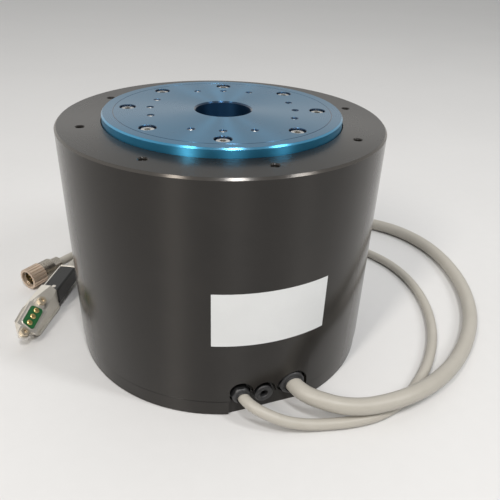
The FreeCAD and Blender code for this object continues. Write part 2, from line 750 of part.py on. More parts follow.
def make_read_head():
    near = boss_r + HEAD_BOSS_GAP
    far = near + HEAD_WIDTH
    head_top = disc_low - DISC_GAP
    head_low = head_top - HEAD_HEIGHT
    half = HEAD_LENGTH / 2
    screw_y = far - M3_HEAD_R
    places = [Vector(side * HEAD_SCREW_SPREAD / 2, screw_y, 0) for side in (-1, 1)]
    head = block((-half, half), (near, far), (head_low, head_top))
    window = block((-half / 2, half / 2), (near, far - 2 * M3_HEAD_R), (head_top - HEAD_WINDOW, head_top))
    seat = head_top - M3_HEAD_HEIGHT
    through = rod(M3_CLEAR_R, head_low, seat).fuse(rod(M3_HEAD_R + HEAD_SIDE_GAP, seat, head_top))
    save("read_head", head.cut([window] + [through.translated(place) for place in places]))
    bracket_half = BRACKET_LENGTH / 2
    bracket = block((-bracket_half, bracket_half), (near, far), (BASE_THICKNESS, head_low))
    hole = rod(M3_TAP_R, head_low - SMALL_BITE - TAP_SPARE, head_low)
    save("read_head_bracket", bracket.cut([hole.translated(place) for place in places]))
    screw = cap_screw(M3_TAP_R, M3_HEAD_R, M3_HEAD_HEIGHT, seat - head_low + SMALL_BITE)
    screw = screw.translated(Vector(0, 0, seat))
    save("read_head_screws", *[screw.translated(place) for place in places])


def make_board():
    low = board_top - BOARD_THICKNESS
    board = ring(board_inner_r, board_outer_r, low, board_top)
    hole = rod(M3_CLEAR_R, low, board_top)
    save("connection_board", board.cut(on_circle(hole, post_circle, board_angles)))
    stud = rod(M3_TAP_R - CORE_GAP, BASE_THICKNESS - SMALL_BITE, BASE_THICKNESS)
    post = rod(BOARD_POST_DIA / 2, BASE_THICKNESS, low).fuse(stud).removeSplitter()
    post = post.cut(rod(M3_TAP_R, low - SMALL_BITE - TAP_SPARE, low))
    save("board_posts", *on_circle(post, post_circle, board_angles))
    screw = cap_screw(M3_TAP_R, M3_HEAD_R, M3_HEAD_HEIGHT / 2, BOARD_THICKNESS + SMALL_BITE)
    screw = screw.translated(Vector(0, 0, board_top))
    save("board_screws", *on_circle(screw, post_circle, board_angles))


# Cable glands and the air port's bushing: made upright, then laid along -Y
def lay_out(shape, x, y, z):
    """Turns an upright piece towards -Y with its z = 0 on its seat."""
    laid = shape.rotated(CENTRE, Vector(1, 0, 0), 90)
    return laid.translated(Vector(x, y, z))


def make_gland(name, x, z, flats, shank_r, wire_r, cable_dia):
    corner_r = flats / 2 / math.cos(math.pi / 6)
    cable_bore_r = cable_dia / 2 + CABLE_BORE_GAP
    nut_r = flats / 2 + GLAND_NUT_ROUND
    top = GLAND_FLANGE + GLAND_NUT_LENGTH
    body = turned([
        (wire_r, -GLAND_SHANK),
        (shank_r, -GLAND_SHANK),
        (shank_r, 0.0),
        (corner_r, 0.0),
        (corner_r, GLAND_FLANGE),
        (wire_r, GLAND_FLANGE),
    ])
    save(name + "_gland_body", lay_out(body, x, gland_seat_y, z))
    dome = rod(nut_r, GLAND_FLANGE, top)
    front = [edge for edge in dome.Edges if edge.CenterOfMass.z > top - CORE_GAP]
    dome = dome.makeFillet(GLAND_DOME, front).cut(rod(cable_bore_r, GLAND_FLANGE, top))
    nut = dome.common(hexagon(flats, GLAND_FLANGE, top))
    save(name + "_gland_nut", lay_out(nut, x, gland_seat_y, z))


def make_port():
    bushing = turned([
        (M5_TAP_R, -PORT_SHANK),
        (PORT_SHANK_R, -PORT_SHANK),
        (PORT_SHANK_R, 0.0),
        (PORT_FLANGE_R, 0.0),
        (PORT_FLANGE_R, PORT_FLANGE - PORT_CHAMFER),
        (PORT_FLANGE_R - PORT_CHAMFER, PORT_FLANGE),
        (M5_TAP_R + TAP_CHAMFER, PORT_FLANGE),
        (M5_TAP_R, PORT_FLANGE - TAP_CHAMFER),
    ])
    save("port_bushing", lay_out(bushing, PORT_X, flat_y, PORT_Z))


# Power connector
def power_level_place():
    turn = FreeCAD.Rotation(AXIS, POWER_PLUG_TURN)
    return FreeCAD.Placement(Vector(POWER_PLUG_X, POWER_PLUG_Y, 0), turn)


def power_face_place():
    turn = FreeCAD.Rotation(AXIS, POWER_PLUG_TURN)
    dip = FreeCAD.Rotation(Vector(0, 1, 0), FACE_DIP)
    lean = FreeCAD.Rotation(Vector(1, 0, 0), -FACE_LEAN)
    return FreeCAD.Placement(Vector(POWER_PLUG_X, POWER_PLUG_Y, FACE_HEIGHT), turn * dip * lean)


def moved(shape, place):
    copy = shape.copy()
    copy.Placement = place.multiply(copy.Placement)
    return copy


def face_outline(length, width, grow, low, high):
    """The connector face: a trapezium with sloping ends and rounded corners."""
    half = width / 2 + grow
    lean = half * math.tan(math.radians(FACE_SLOPE))
    reach = length / 2 + grow
    corners = [(-reach - lean, half), (-reach + lean, -half), (reach - lean, -half), (reach + lean, half)]
    body = prism(corners, low, high)
    uprights = [edge for edge in body.Edges if abs(edge.tangentAt(0).z) > 0.9]
    return body.makeFillet(FACE_CORNER + grow, uprights)


def make_power_plug():
    place = power_face_place()
    flange_top_n = -FACE_RISE - SHELL_RISE
    flange_low_n = flange_top_n - SHELL_FLANGE
    screw_x = JACKSCREW_SPACING / 2
    screw_ends = [Vector(side * screw_x, 0, 0) for side in (-1, 1)]
    screw_hole = rod(JACKSCREW_R + JACKSCREW_GAP, flange_low_n, flange_top_n)
    hole_low_n = flange_low_n - JACKSCREW_REACH - TAP_SPARE
    collar_hole = rod(JACKSCREW_COLLAR_R + HEAD_SIDE_GAP, hole_low_n, flange_low_n)
    insert_room = face_outline(FACE_LENGTH, FACE_WIDTH, INSERT_GAP, flange_low_n - INSERT_DEPTH, 0.0)

    level = block((-HOOD_BACK, HOOD_FRONT), (-HOOD_RIGHT, HOOD_LEFT), (FLOOR_GAP, HOOD_TOP))
    nose = [edge for edge in level.Edges
            if edge.CenterOfMass.x > HOOD_FRONT - FLOOR_GAP and edge.CenterOfMass.z < 2 * FLOOR_GAP]
    level = level.makeChamfer(HOOD_NOSE, nose)
    far = 2 * HOOD_BACK
    above = block((-far, far), (-far, far), (flange_low_n, far))
    spaces = [above, insert_room] + [collar_hole.translated(end) for end in screw_ends]
    hood = moved(level, power_level_place()).cut([moved(space, place) for space in spaces])
    save("power_hood", hood)

    flange_half = SHELL_FLANGE_WIDTH / 2
    reach = SHELL_FLANGE_LENGTH / 2
    flange = block((-reach, reach), (-flange_half, flange_half), (flange_low_n, flange_top_n))
    ears = block((-screw_x, screw_x), (-SHELL_EAR_R, SHELL_EAR_R), (flange_low_n, flange_top_n))
    ear = rod(SHELL_EAR_R, flange_low_n, flange_top_n)
    flange = flange.fuse([ears] + [ear.translated(end) for end in screw_ends])
    rim = face_outline(FACE_LENGTH, FACE_WIDTH, INSERT_GAP + SHELL_WALL, flange_low_n, -FACE_RISE)
    shell = flange.fuse(rim).removeSplitter()
    shell = shell.cut([insert_room] + [screw_hole.translated(end) for end in screw_ends])
    save("power_shell", moved(shell, place))

    pitches = [index * CONTACT_PITCH for index in (-1, 0, 1)]
    insert = face_outline(FACE_LENGTH, FACE_WIDTH, 0.0, flange_low_n - INSERT_DEPTH, 0.0)
    contact_low = flange_low_n - INSERT_DEPTH + CONTACT_FLOOR
    contact_hole = rod(CONTACT_R + CONTACT_GAP, contact_low, 0.0)
    contact_holes = [contact_hole.translated(Vector(x, 0, 0)) for x in pitches]
    save("power_insulator", moved(insert.cut(contact_holes), place))
    contact = turned([
        (0.0, contact_low),
        (CONTACT_R, contact_low),
        (CONTACT_R, CONTACT_RISE - CONTACT_DOME),
        (CONTACT_R - CONTACT_DOME, CONTACT_RISE),
        (0.0, CONTACT_RISE),
    ])
    save("power_contacts", *[moved(contact.translated(Vector(x, 0, 0)), place) for x in pitches])

    collar_top_n = flange_low_n - JACKSCREW_GAP
    head_top_n = flange_top_n + JACKSCREW_HEAD
    shank = rod(JACKSCREW_R, flange_low_n - JACKSCREW_REACH, flange_top_n)
    shank = shank.fuse(rod(JACKSCREW_COLLAR_R, collar_top_n - JACKSCREW_COLLAR, collar_top_n))
    screw = hexagon(JACKSCREW_FLATS, flange_top_n, head_top_n).fuse(shank).removeSplitter()
    screw = screw.cut(rod(JACKSCREW_BORE_R, flange_top_n + TAP_SPARE, head_top_n))
    save("power_jackscrew_rear", moved(screw.translated(screw_ends[0]), place))
    save("power_jackscrew_front", moved(screw.translated(screw_ends[1]), place))

    sides = (-BLOCK_SHIFT - BLOCK_WIDTH / 2, -BLOCK_SHIFT + BLOCK_WIDTH / 2)
    block_end = -HOOD_BACK - BLOCK_LENGTH
    clamp = block((block_end, -HOOD_BACK), sides, (BLOCK_LOW, BLOCK_HIGH))
    long_edges = [edge for edge in clamp.Edges if abs(edge.tangentAt(0).x) > 0.9]
    clamp = clamp.makeChamfer(BLOCK_CHAMFER, long_edges)
    mouth = Vector(block_end, -BLOCK_SHIFT, (BLOCK_LOW + BLOCK_HIGH) / 2)
    cable_bore_r = POWER_CABLE_DIA / 2 + CABLE_BORE_GAP
    bore = Part.makeCylinder(cable_bore_r, BLOCK_SOCKET, mouth, Vector(1, 0, 0))
    save("power_clamp_block", moved(clamp.cut(bore), power_level_place()))


def power_cable_end():
    end = -HOOD_BACK - BLOCK_LENGTH + BLOCK_SOCKET
    return power_level_place().multVec(Vector(end, -BLOCK_SHIFT, (BLOCK_LOW + BLOCK_HIGH) / 2))


# Encoder connector: made upright with its tip at the top, then laid on the floor
def encoder_place():
    turn = FreeCAD.Rotation(AXIS, ENCODER_PLUG_TURN)
    lay = FreeCAD.Rotation(Vector(0, 1, 0), 90)
    return FreeCAD.Placement(Vector(ENCODER_PLUG_X, ENCODER_PLUG_Y, RING_R + FLOOR_GAP), turn * lay)


def make_encoder_plug():
    place = encoder_place()
    cable_bore_r = ENCODER_CABLE_DIA / 2 + CABLE_BORE_GAP
    body_low = CLAMP_NUT_LIP
    ring_low = PLUG_LENGTH - RING_LENGTH
    shell_top = PLUG_LENGTH - RING_MOUTH
    insert_top = shell_top - INSERT_RECESS
    insert_low = insert_top - INSERT_LENGTH
    body = turned([
        (0.0, body_low),
        (PLUG_REAR_R, body_low),
        (PLUG_REAR_R, CLAMP_NUT_LENGTH),
        (PLUG_BODY_R, CLAMP_NUT_LENGTH),
        (PLUG_BODY_R, ring_low),
        (PLUG_SHELL_R, ring_low),
        (PLUG_SHELL_R, shell_top),
        (PLUG_SHELL_R - PLUG_WALL, shell_top),
        (PLUG_SHELL_R - PLUG_WALL, insert_low),
        (0.0, insert_low),
    ])
    save("encoder_plug_body", moved(body, place))

    collar = ring(PLUG_SHELL_R + RING_FIT, RING_R, ring_low + RING_FIT, PLUG_LENGTH)
    groove = rod(RING_GROOVE_R, ring_low, PLUG_LENGTH)
    grooves = on_circle(groove, 2 * RING_R, even_angles(RING_GROOVES))
    save("encoder_coupling_ring", moved(collar.cut(grooves), place))

    insert_r = PLUG_SHELL_R - PLUG_WALL - CONTACT_GAP
    pin_angles = even_angles(PIN_COUNT)
    pin = rod(PIN_R, insert_low + PIN_SEAT, insert_top + PIN_RISE)
    pin_hole = rod(PIN_R + CONTACT_GAP, insert_low + PIN_SEAT, insert_top)
    insert = rod(insert_r, insert_low, insert_top).cut(on_circle(pin_hole, 2 * PIN_CIRCLE_R, pin_angles))
    save("encoder_plug_insert", moved(insert, place))
    save("encoder_pins", *[moved(copy, place) for copy in on_circle(pin, 2 * PIN_CIRCLE_R, pin_angles)])

    nut_corner_r = CLAMP_NUT_FLATS / 2 / math.cos(math.pi / 6)
    nut = hexagon(CLAMP_NUT_FLATS, 0.0, CLAMP_NUT_LENGTH).common(turned([
        (cable_bore_r, 0.0),
        (CLAMP_NUT_FLATS / 2, 0.0),
        (nut_corner_r, CLAMP_NUT_CHAMFER),
        (nut_corner_r, CLAMP_NUT_LENGTH),
        (PLUG_REAR_R + SHAFT_FIT, CLAMP_NUT_LENGTH),
        (PLUG_REAR_R + SHAFT_FIT, CLAMP_NUT_LIP),
        (cable_bore_r, CLAMP_NUT_LIP),
    ]))
    save("encoder_clamp_nut", moved(nut, place))


def encoder_cable_end():
    return encoder_place().multVec(Vector(0, 0, CLAMP_NUT_LIP))


# Cables: straight runs joined by tangent arcs, from gland to connector
POWER_ROUTE = [
    (POWER_GLAND_X, gland_face_y, POWER_GLAND_Z),
    (POWER_GLAND_X, gland_face_y - POWER_EXIT_RUN, POWER_GLAND_Z),
    (18.2, -98.0, 13.3),
    (26.6, -103.2, 12.2),
    (37.2, -108.3, 11.6),
    (51.5, -112.0, 11.4),
    (70.0, -111.6, 11.4),
    (92.0, -105.0, 9.4),
    (117.0, -91.5, 5.8),
    (140.5, -73.5, 4.7),
    (160.0, -52.0, 4.7),
    (175.5, -24.5, 4.7),
    (185.0, 6.5, 4.7),
    (186.8, 35.0, 4.7),
    (180.0, 61.0, 4.7),
    (165.5, 81.0, 4.7),
    (147.0, 95.0, 4.7),
    (123.0, 107.0, 4.7),
    (97.0, 117.0, 4.7),
    (69.0, 124.5, 4.7),
    (40.0, 126.5, 4.7),
    (12.0, 121.0, 4.7),
    (-14.0, 113.0, 4.7),
    (-38.0, 107.5, 4.7),
    (-59.0, 101.5, 4.7),
    (-76.0, 92.0, 5.3),
    (-86.5, 81.5, 7.3),
]
ENCODER_ROUTE = [
    (ENCODER_GLAND_X, gland_face_y, ENCODER_GLAND_Z),
    (ENCODER_GLAND_X, gland_face_y - ENCODER_EXIT_RUN, ENCODER_GLAND_Z),
    (-10.8, -97.2, 11.4),
    (-2.4, -101.8, 8.0),
    (8.5, -105.2, 4.9),
    (22.0, -108.6, 3.3),
    (37.5, -111.8, 3.2),
    (55.0, -112.0, 3.2),
    (75.0, -104.8, 3.2),
    (96.5, -90.2, 3.2),
    (115.0, -71.8, 3.2),
    (129.5, -50.5, 3.2),
    (139.6, -26.5, 3.2),
    (144.6, -1.0, 3.2),
    (142.5, 23.0, 3.2),
    (133.0, 45.0, 3.2),
    (117.0, 66.0, 3.2),
    (96.0, 84.5, 3.2),
    (72.0, 98.5, 3.2),
    (48.0, 107.0, 3.6),
    (29.0, 111.0, 7.6),
    (13.0, 115.5, 12.6),
    (-9.0, 123.0, 12.6),
    (-25.0, 128.0, 7.6),
    (-43.0, 128.0, 3.6),
    (-60.0, 120.0, 3.5),
    (-72.0, 109.0, 4.9),
]
LAST_RUN = 11.0
RUN_SHARE = 0.45


def finished_route(points, place, end, back):
    """The chosen points, then a last run straight into the connector."""
    direction = place.Rotation.multVec(back)
    before = end + direction * LAST_RUN
    return [Vector(*point) for point in points] + [before, end]


def make_cable(name, points, diameter):
    edges = []
    radii = []
    length = 0.0
    start = points[0]
    for before, corner, after in zip(points, points[1:], points[2:]):
        into = corner - before
        out = after - corner
        half_turn = into.getAngle(out) / 2
        setback = RUN_SHARE * min(into.Length, out.Length)
        radius = setback / math.tan(half_turn)
        into.normalize()
        out.normalize()
        first = corner - into * setback
        last = corner + out * setback
        inward = (out - into).normalize()
        middle = corner + inward * (radius / math.cos(half_turn) - radius)
        edges.append(Part.LineSegment(start, first).toShape())
        edges.append(Part.Arc(first, middle, last).toShape())
        radii.append(round(radius, 1))
        start = last
    edges.append(Part.LineSegment(start, points[-1]).toShape())
    path = Part.Wire(edges)
    heading = points[1] - points[0]
    section = Part.Wire(Part.makeCircle(diameter / 2, points[0], heading))
    tube = path.makePipeShell([section], True, True)
    area = math.pi * diameter ** 2 / 4
    print(name, "length", round(path.Length, 1), "volume over section times length",
          round(tube.Volume / (area * path.Length), 4), "radii", radii)
    save(name, tube)


os.makedirs("parts", exist_ok=True)
make_housing()
make_base()
make_rotor_plate()
make_shaft()
make_bearing("upper", upper_bore_r, upper_outside_r, upper_low, upper_top, UPPER_BALL, UPPER_BALLS)
make_bearing("lower", lower_bore_r, lower_outside_r, lower_low, lower_top, LOWER_BALL, LOWER_BALLS)
make_retainer()
make_stator()
make_magnet_rotor()
make_encoder()
make_read_head()
make_board()
make_gland("power", POWER_GLAND_X, POWER_GLAND_Z, POWER_GLAND_FLATS, POWER_SHANK_R, POWER_WIRE_R,
           POWER_CABLE_DIA)
make_gland("encoder", ENCODER_GLAND_X, ENCODER_GLAND_Z, ENCODER_GLAND_FLATS, ENCODER_SHANK_R,
           ENCODER_WIRE_R, ENCODER_CABLE_DIA)
make_port()
make_power_plug()
make_encoder_plug()
power_route = finished_route(POWER_ROUTE, power_level_place(), power_cable_end(), Vector(-1, 0, 0))
encoder_route = finished_route(ENCODER_ROUTE, encoder_place(), encoder_cable_end(), Vector(0, 0, -1))
make_cable("power_cable", power_route, POWER_CABLE_DIA)
make_cable("encoder_cable", encoder_route, ENCODER_CABLE_DIA)
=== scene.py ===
# Looks of the direct drive rotary motor: finishes, cables, label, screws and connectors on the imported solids.
import bpy
import json
import math
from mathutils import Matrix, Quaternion, Vector


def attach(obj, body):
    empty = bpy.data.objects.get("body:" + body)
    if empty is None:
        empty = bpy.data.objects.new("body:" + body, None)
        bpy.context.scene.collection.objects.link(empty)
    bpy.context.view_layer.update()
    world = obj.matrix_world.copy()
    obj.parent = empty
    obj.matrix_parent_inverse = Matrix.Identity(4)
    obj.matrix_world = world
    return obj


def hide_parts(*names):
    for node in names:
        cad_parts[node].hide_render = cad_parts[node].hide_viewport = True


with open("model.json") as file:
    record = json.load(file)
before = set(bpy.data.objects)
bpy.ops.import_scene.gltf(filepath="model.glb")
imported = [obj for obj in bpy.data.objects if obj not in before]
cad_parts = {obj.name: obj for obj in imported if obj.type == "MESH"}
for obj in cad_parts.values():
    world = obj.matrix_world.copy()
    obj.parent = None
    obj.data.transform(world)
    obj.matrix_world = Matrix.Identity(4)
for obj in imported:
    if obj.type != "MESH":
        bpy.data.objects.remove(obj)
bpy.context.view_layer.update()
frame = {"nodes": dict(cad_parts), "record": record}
nodes = frame["nodes"]
slot_of = {entry["node"]: entry["material_slot"] for entry in frame["record"]["subparts"]}

MERGE_GAP = 1e-6  # metres
LINE_DRIFT = 0.0004  # how far a tool line wanders in a radian, in metres
BUMP_DEPTH = 0.0001  # metres
FACE_FINENESS, BORE_COARSENESS = 0.55, 2.3  # what roughness is multiplied by there


# Selecting, shaping and placing pieces

def metres(*values):
    return [value / 1000 for value in values]


def pick(*pieces):
    """Selects just these pieces, with the first one active."""
    bpy.ops.object.select_all(action="DESELECT")
    for piece in pieces:
        piece.select_set(True)
    bpy.context.view_layer.objects.active = pieces[0]


def start_outline(name, profile):
    """A new piece, open for shaping, that is a chain of points given as radius and height."""
    bpy.ops.object.select_all(action="DESELECT")
    bpy.ops.mesh.primitive_plane_add(size=0.001)
    piece = bpy.context.object
    piece.name = name
    bpy.ops.object.mode_set(mode="EDIT")
    bpy.ops.mesh.select_all(action="SELECT")
    bpy.ops.mesh.merge(type="CENTER")
    radius, height = profile[0]
    bpy.ops.transform.translate(value=metres(radius, 0.0, height))
    for (radius, height), (next_radius, next_height) in zip(profile, profile[1:]):
        step = metres(next_radius - radius, 0.0, next_height - height)
        bpy.ops.mesh.extrude_vertices_move(TRANSFORM_OT_translate={"value": step})
    return piece


def turned_piece(name, profile, steps=48, sweep=360.0):
    """A piece turned about Z from its outline. A part turn gets its two ends closed."""
    piece = start_outline(name, profile)
    bpy.ops.mesh.select_all(action="SELECT")
    bpy.ops.mesh.spin(steps=steps, angle=math.radians(sweep), center=(0.0, 0.0, 0.0), axis=(0.0, 0.0, 1.0))
    bpy.ops.mesh.select_all(action="SELECT")
    bpy.ops.mesh.remove_doubles(threshold=MERGE_GAP)
    bpy.ops.mesh.fill_holes(sides=0)
    bpy.ops.mesh.select_all(action="SELECT")
    bpy.ops.mesh.normals_make_consistent(inside=False)
    bpy.ops.object.mode_set(mode="OBJECT")
    return piece


def bar(name, low, high, round_off):
    """A block with rounded edges between two corners."""
    bpy.ops.object.select_all(action="DESELECT")
    bpy.ops.mesh.primitive_cube_add(size=1.0)
    piece = bpy.context.object
    piece.name = name
    bpy.ops.object.mode_set(mode="EDIT")
    bpy.ops.mesh.select_all(action="SELECT")
    bpy.ops.transform.resize(value=[(b - a) / 1000 for a, b in zip(low, high)])
    bpy.ops.transform.translate(value=[(a + b) / 2000 for a, b in zip(low, high)])
    bpy.ops.mesh.bevel(offset=round_off / 1000, segments=3, affect="EDGES")
    bpy.ops.object.mode_set(mode="OBJECT")
    smooth(piece, 40.0)
    return piece


def apply_changes(piece):
    """Makes a piece's modifiers part of its mesh."""
    pick(piece)
    for modifier in list(piece.modifiers):
        bpy.ops.object.modifier_apply(modifier=modifier.name)


def cut_with(piece, cutter):
    """Takes one piece out of another."""
    cut = piece.modifiers.new("cut", "BOOLEAN")
    cut.operation = "DIFFERENCE"
    cut.object = cutter
    apply_changes(piece)
    pick(cutter)
    bpy.ops.object.delete()


def drill(piece, sides, radius, depth, at, turn=(0.0, 0.0, 0.0)):
    """Takes a prism with this many sides out of a piece."""
    bpy.ops.object.select_all(action="DESELECT")
    bpy.ops.mesh.primitive_cylinder_add(
        vertices=sides, radius=radius / 1000, depth=depth / 1000, location=metres(*at), rotation=turn)
    cut_with(piece, bpy.context.object)


def put(piece, at, towards=(0.0, 0.0, 1.0), turn=0.0):
    """Moves a piece made round Z to a point, with its Z along a direction, inside its mesh."""
    upright = Vector((0.0, 0.0, 1.0))
    heading = upright.rotation_difference(Vector(towards)) @ Quaternion(upright, math.radians(turn))
    piece.rotation_euler = heading.to_euler()
    piece.location = metres(*at)
    pick(piece)
    bpy.ops.object.transform_apply(location=True, rotation=True, scale=True)


def round_the_axis(piece, angles):
    """Copies of a piece turned about the motor's axis to the given angles, joined into one piece."""
    copies = []
    for angle in angles:
        pick(piece)
        bpy.ops.object.duplicate(linked=False)
        copy = bpy.context.object
        copy.rotation_euler = (0.0, 0.0, math.radians(angle))
        copies.append(copy)
    name = piece.name
    pick(piece)
    bpy.ops.object.delete()
    pick(*copies)
    bpy.ops.object.transform_apply(location=True, rotation=True, scale=True)
    bpy.ops.object.join()
    copies[0].name = name
    return copies[0]


def even_angles(count, start=0.0):
    return [start + 360.0 * index / count for index in range(count)]


def smooth(piece, angle=30.0):
    pick(piece)
    bpy.ops.object.shade_smooth_by_angle(angle=math.radians(angle))


def dress(piece, body, slot, *stands_for, look=None):
    """Gives a piece its slot's finish or another look, a body that carries it, and the solids it stands for."""
    piece.data.materials.clear()
    piece.data.materials.append(look or FINISH_OF_SLOT[slot])
    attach(piece, body)
    if stands_for:
        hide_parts(*stands_for)


def soften(node, width):
    """A copy of a fixed solid with its sharp edges rounded, which stands for that solid."""
    piece = bpy.data.objects.new(node + "_rounded", nodes[node].data.copy())
    bpy.context.collection.objects.link(piece)
    pick(piece)
    bpy.ops.object.mode_set(mode="EDIT")
    bpy.ops.mesh.select_all(action="SELECT")
    bpy.ops.mesh.remove_doubles(threshold=MERGE_GAP)
    bpy.ops.mesh.dissolve_limited(angle_limit=math.radians(0.5))
    bpy.ops.object.mode_set(mode="OBJECT")
    bevel = piece.modifiers.new("edges", "BEVEL")
    bevel.width = width / 1000
    bevel.segments = 2
    bevel.limit_method = "ANGLE"
    bevel.angle_limit = math.radians(30.0)
    apply_changes(piece)
    smooth(piece, 50.0)
    flats = piece.modifiers.new("flats", "WEIGHTED_NORMAL")
    flats.keep_sharp = True
    apply_changes(piece)
    dress(piece, "stator", slot_of[node], node)
    return piece


# Shader building blocks

def add(tree, kind, inputs=None, **options):
    """A new node with its options set. Each of its inputs is a value, or a socket to link from."""
    made = tree.nodes.new(kind)
    for key, value in options.items():
        setattr(made, key, value)
    for key, value in (inputs or {}).items():
        if isinstance(value, bpy.types.NodeSocket):
            tree.links.new(value, made.inputs[key])
        else:
            made.inputs[key].default_value = value
    return made


def reckon(tree, operation, *terms):
    """What an operation makes of numbers and sockets."""
    return add(tree, "ShaderNodeMath", dict(enumerate(terms)), operation=operation).outputs[0]


def ramp(tree, value, start=0.0, end=1.0, low=0.0, high=1.0):
    """Goes from low to high while a value goes from start to end."""
    limits = {"Value": value, "From Min": start, "From Max": end, "To Min": low, "To Max": high}
    return add(tree, "ShaderNodeMapRange", limits).outputs["Result"]


def mix_colours(tree, share, first, second):
    """A colour between two, each given as red, green and blue or as a socket."""
    ends = [(*end, 1.0) if isinstance(end, tuple) else end for end in (first, second)]
    # The Mix node's sockets for colours have these numbers.
    return add(tree, "ShaderNodeMix", {0: share, 6: ends[0], 7: ends[1]}, data_type="RGBA").outputs[2]


def about_axis(tree, place):
    """The X, Y and Z of a place, and its distance from the Z axis."""
    parts = add(tree, "ShaderNodeSeparateXYZ", {0: place})
    across = add(tree, "ShaderNodeVectorMath", {0: place, 1: (1.0, 1.0, 0.0)}, operation="MULTIPLY")
    radius = add(tree, "ShaderNodeVectorMath", {0: across.outputs[0]}, operation="LENGTH")
    return parts.outputs, radius.outputs["Value"]


def new_group(name, measure, default, mask):
    """An empty shader group that makes a mask from a place and a measure, and its two end nodes."""
    group = bpy.data.node_groups.new(name, "ShaderNodeTree")
    group.interface.new_socket("Vector", in_out="INPUT", socket_type="NodeSocketVector")
    group.interface.new_socket(measure, in_out="INPUT", socket_type="NodeSocketFloat").default_value = default
    group.interface.new_socket(mask, in_out="OUTPUT", socket_type="NodeSocketFloat")
    return group, group.nodes.new("NodeGroupInput"), group.nodes.new("NodeGroupOutput")


def turned_lines_group():
    """Fine tool lines that run round an axis along Z, on faces and on sides."""
    tree, start, end = new_group("turned_lines", "Density", 2500.0, "Lines")
    parts, radius = about_axis(tree, start.outputs["Vector"])
    drift = reckon(tree, "MULTIPLY", reckon(tree, "ARCTAN2", parts["Y"], parts["X"]), LINE_DRIFT)
    laid = add(tree, "ShaderNodeCombineXYZ", {"X": radius, "Y": parts["Z"], "Z": drift})
    noise = add(tree, "ShaderNodeTexNoise", {
        "Vector": laid.outputs[0], "Scale": start.outputs["Density"], "Detail": 3.0, "Roughness": 0.65})
    tree.links.new(noise.outputs[0], end.inputs["Lines"])
    return tree


def handling_group():
    """Soft patches where hands and cloths have touched a surface."""
    tree, start, end = new_group("handling", "Size", 40.0, "Patches")
    noise = add(tree, "ShaderNodeTexNoise", {
        "Vector": start.outputs["Vector"], "Scale": start.outputs["Size"], "Detail": 4.0, "Roughness": 0.55,
        "Distortion": 0.6})
    tree.links.new(ramp(tree, noise.outputs[0], 0.35, 0.68), end.inputs["Patches"])
    return tree


def grain_group():
    """The small pits and bumps of a moulded or cast surface."""
    tree, start, end = new_group("moulded_grain", "Density", 1500.0, "Grain")
    noise = add(tree, "ShaderNodeTexNoise", {
        "Vector": start.outputs["Vector"], "Scale": start.outputs["Density"], "Detail": 2.0, "Roughness": 0.5})
    tree.links.new(noise.outputs[0], end.inputs["Grain"])
    return tree


TURNED = turned_lines_group()
HANDLING = handling_group()
GRAIN = grain_group()


def open_finish(material):
    """A finish's node tree, its shader, and the socket that its colour comes from."""
    tree = material.node_tree
    shader = tree.nodes["Principled BSDF"]
    return tree, shader, shader.inputs["Base Color"].links[0].from_socket


def finish(name, colours, roughness, fine, density, bump, patch_size=40.0, **constants):
    """A finish whose colour and roughness follow a fine pattern and patches of handling.

    colours and roughness are pairs between which the patterns move. fine is the group of the fine
    pattern, and density its scale. constants go to the shader's own sockets.
    """
    material = bpy.data.materials.new(name)
    material.use_nodes = True
    tree = material.node_tree
    shader = tree.nodes["Principled BSDF"]
    for key, value in constants.items():
        shader.inputs[key.replace("_", " ")].default_value = value
    place = add(tree, "ShaderNodeTexCoord").outputs["Object"]
    lines = add(tree, "ShaderNodeGroup", {"Vector": place, "Density": density}, node_tree=fine).outputs[0]
    patches = add(tree, "ShaderNodeGroup", {"Vector": place, "Size": patch_size}, node_tree=HANDLING).outputs[0]
    both = reckon(tree, "MULTIPLY_ADD", lines, 0.5, reckon(tree, "MULTIPLY", patches, 0.5))
    height = add(tree, "ShaderNodeBump", {"Strength": bump, "Distance": BUMP_DEPTH, "Height": lines})
    tree.links.new(mix_colours(tree, both, *colours), shader.inputs["Base Color"])
    tree.links.new(ramp(tree, both, low=roughness[0], high=roughness[1]), shader.inputs["Roughness"])
    tree.links.new(height.outputs[0], shader.inputs["Normal"])
    return material


def turned_outside(material, top, chamfer, bore, side_gloss, top_gloss, side_fineness):
    """Turned lines round the axis, which draw each light out into a streak along it.

    The flat face at the top and the chamfer round it are finer, and the bore is coarser. Gives back the
    masks of the chamfer with the face and of the face alone, and the radius.
    """
    tree, shader, _ = open_finish(material)
    around = add(tree, "ShaderNodeTangent", direction_type="RADIAL", axis="Z")
    tree.links.new(around.outputs[0], shader.inputs["Tangent"])
    parts, radius = about_axis(tree, add(tree, "ShaderNodeTexCoord").outputs["Object"])
    edge = ramp(tree, parts["Z"], (top - chamfer - 0.1) / 1000, (top - chamfer) / 1000)
    face = ramp(tree, parts["Z"], (top - 0.06) / 1000, (top - 0.02) / 1000)
    less = reckon(tree, "MULTIPLY", face, top_gloss - 1.0)
    tree.links.new(reckon(tree, "ADD", ramp(tree, edge, low=side_gloss), less), shader.inputs["Coat Weight"])
    inside = reckon(tree, "LESS_THAN", radius, (bore + 0.1) / 1000)
    rough = shader.inputs["Roughness"].links[0].from_socket
    finer = reckon(tree, "MULTIPLY", rough, ramp(tree, edge, low=side_fineness, high=FACE_FINENESS))
    coarser = reckon(tree, "MULTIPLY", finer, ramp(tree, inside, low=1.0, high=BORE_COARSENESS))
    tree.links.new(coarser, shader.inputs["Roughness"])
    return {"edge": edge, "face": face, "radius": radius}


